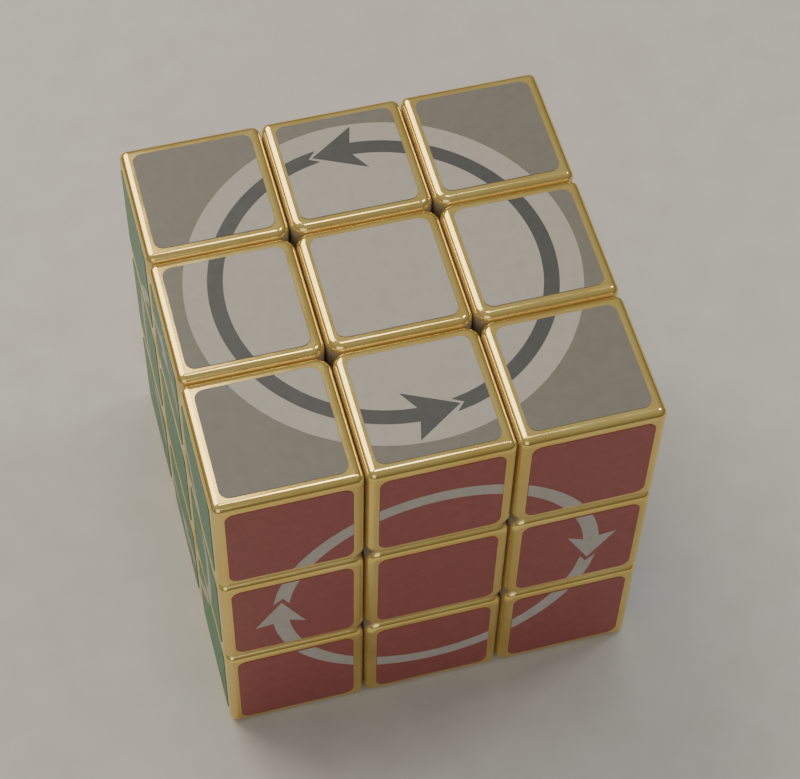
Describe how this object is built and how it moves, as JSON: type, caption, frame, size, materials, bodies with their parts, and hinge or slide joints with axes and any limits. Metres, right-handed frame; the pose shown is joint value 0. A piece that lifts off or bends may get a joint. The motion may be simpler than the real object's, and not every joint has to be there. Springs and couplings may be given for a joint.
{
  "type": "layered twisting puzzle cube",
  "caption": "Twisting puzzle cube of gold-plated blocks with coloured stickers and ring arrows; its layers turn round a sprung core, held to one direction by latches.",
  "frame": {"origin": "centre of the core, where the three turning axes cross", "axes": "+X to the right (blue) face, +Y to the back (orange) face, +Z to the top (white) face"},
  "size_m": [0.057, 0.057, 0.057],
  "materials": {
    "gold_plate": "mirror gold plating on moulded plastic",
    "black_plastic": "moulded, fine satin",
    "latch_plastic": "natural moulded nylon",
    "steel": "zinc-plated, satin",
    "white_vinyl": "silver-grey printed vinyl under a clear satin film",
    "yellow_vinyl": "printed vinyl, satin",
    "red_vinyl": "printed vinyl, satin",
    "orange_vinyl": "printed vinyl, satin",
    "green_vinyl": "printed vinyl, satin",
    "blue_vinyl": "printed vinyl, satin"
  },
  "bodies": {
    "core_and_middle_layer": {"front_left_cap": "gold_plate", "left_centre_cap": "gold_plate", "back_left_cap": "gold_plate", "front_centre_cap": "gold_plate", "back_centre_cap": "gold_plate", "front_right_cap": "gold_plate", "right_centre_cap": "gold_plate", "back_right_cap": "gold_plate", "middle_red_stickers": "red_vinyl", "middle_orange_stickers": "orange_vinyl", "middle_green_stickers": "green_vinyl", "middle_blue_stickers": "blue_vinyl", "middle_feet_and_hubs": "black_plastic", "core": "black_plastic", "tension_screws": "steel", "tension_springs": "steel"},
    "top_layer": {"top_front_left_cap": "gold_plate", "top_left_cap": "gold_plate", "top_back_left_cap": "gold_plate", "top_front_cap": "gold_plate", "top_centre_cap": "gold_plate", "top_back_cap": "gold_plate", "top_front_right_cap": "gold_plate", "top_right_cap": "gold_plate", "top_back_right_cap": "gold_plate", "white_stickers": "white_vinyl", "top_red_stickers": "red_vinyl", "top_orange_stickers": "orange_vinyl", "top_green_stickers": "green_vinyl", "top_blue_stickers": "blue_vinyl", "top_feet": "black_plastic", "top_hub": "black_plastic"},
    "bottom_layer": {"bottom_front_left_cap": "gold_plate", "bottom_left_cap": "gold_plate", "bottom_back_left_cap": "gold_plate", "bottom_front_cap": "gold_plate", "bottom_centre_cap": "gold_plate", "bottom_back_cap": "gold_plate", "bottom_front_right_cap": "gold_plate", "bottom_right_cap": "gold_plate", "bottom_back_right_cap": "gold_plate", "yellow_stickers": "yellow_vinyl", "bottom_red_stickers": "red_vinyl", "bottom_orange_stickers": "orange_vinyl", "bottom_green_stickers": "green_vinyl", "bottom_blue_stickers": "blue_vinyl", "bottom_feet": "black_plastic", "bottom_hub": "black_plastic"},
    "front_left_latch": {"front_left_latch": "latch_plastic"},
    "bottom_left_latch": {"bottom_left_latch": "latch_plastic"},
    "top_left_latch": {"top_left_latch": "latch_plastic"},
    "back_left_latch": {"back_left_latch": "latch_plastic"},
    "bottom_front_latch": {"bottom_front_latch": "latch_plastic"},
    "top_front_latch": {"top_front_latch": "latch_plastic"},
    "bottom_back_latch": {"bottom_back_latch": "latch_plastic"},
    "top_back_latch": {"top_back_latch": "latch_plastic"},
    "front_right_latch": {"front_right_latch": "latch_plastic"},
    "bottom_right_latch": {"bottom_right_latch": "latch_plastic"},
    "top_right_latch": {"top_right_latch": "latch_plastic"},
    "back_right_latch": {"back_right_latch": "latch_plastic"}
  },
  "joints": [
    {"name": "top_layer_turn", "type": "hinge", "parent": "core_and_middle_layer", "child": "top_layer", "pos_m": [0, 0, 0], "axis": [0, 0, 1], "continuous": true},
    {"name": "bottom_layer_turn", "type": "hinge", "parent": "core_and_middle_layer", "child": "bottom_layer", "pos_m": [0, 0, 0], "axis": [0, 0, 1], "continuous": true},
    {"name": "front_left_latch_slide", "type": "slide", "parent": "core_and_middle_layer", "child": "front_left_latch", "axis": [0, -1, 0], "range_m": [0, 0.0009], "stiffness_N_per_m": 300, "springref_m": -0.0005},
    {"name": "bottom_left_latch_slide", "type": "slide", "parent": "bottom_layer", "child": "bottom_left_latch", "axis": [-1, 0, 0], "range_m": [0, 0.0009], "stiffness_N_per_m": 300, "springref_m": -0.0005},
    {"name": "top_left_latch_slide", "type": "slide", "parent": "top_layer", "child": "top_left_latch", "axis": [-1, 0, 0], "range_m": [0, 0.0009], "stiffness_N_per_m": 300, "springref_m": -0.0005},
    {"name": "back_left_latch_slide", "type": "slide", "parent": "core_and_middle_layer", "child": "back_left_latch", "axis": [0, 1, 0], "range_m": [0, 0.0009], "stiffness_N_per_m": 300, "springref_m": -0.0005},
    {"name": "bottom_front_latch_slide", "type": "slide", "parent": "bottom_layer", "child": "bottom_front_latch", "axis": [0, 0, -1], "range_m": [0, 0.0009], "stiffness_N_per_m": 300, "springref_m": -0.0005},
    {"name": "top_front_latch_slide", "type": "slide", "parent": "top_layer", "child": "top_front_latch", "axis": [0, 0, 1], "range_m": [0, 0.0009], "stiffness_N_per_m": 300, "springref_m": -0.0005},
    {"name": "bottom_back_latch_slide", "type": "slide", "parent": "bottom_layer", "child": "bottom_back_latch", "axis": [0, 0, -1], "range_m": [0, 0.0009], "stiffness_N_per_m": 300, "springref_m": -0.0005},
    {"name": "top_back_latch_slide", "type": "slide", "parent": "top_layer", "child": "top_back_latch", "axis": [0, 0, 1], "range_m": [0, 0.0009], "stiffness_N_per_m": 300, "springref_m": -0.0005},
    {"name": "front_right_latch_slide", "type": "slide", "parent": "core_and_middle_layer", "child": "front_right_latch", "axis": [0, -1, 0], "range_m": [0, 0.0009], "stiffness_N_per_m": 300, "springref_m": -0.0005},
    {"name": "bottom_right_latch_slide", "type": "slide", "parent": "bottom_layer", "child": "bottom_right_latch", "axis": [1, 0, 0], "range_m": [0, 0.0009], "stiffness_N_per_m": 300, "springref_m": -0.0005},
    {"name": "top_right_latch_slide", "type": "slide", "parent": "top_layer", "child": "top_right_latch", "axis": [1, 0, 0], "range_m": [0, 0.0009], "stiffness_N_per_m": 300, "springref_m": -0.0005},
    {"name": "back_right_latch_slide", "type": "slide", "parent": "core_and_middle_layer", "child": "back_right_latch", "axis": [0, 1, 0], "range_m": [0, 0.0009], "stiffness_N_per_m": 300, "springref_m": -0.0005}
  ]
}
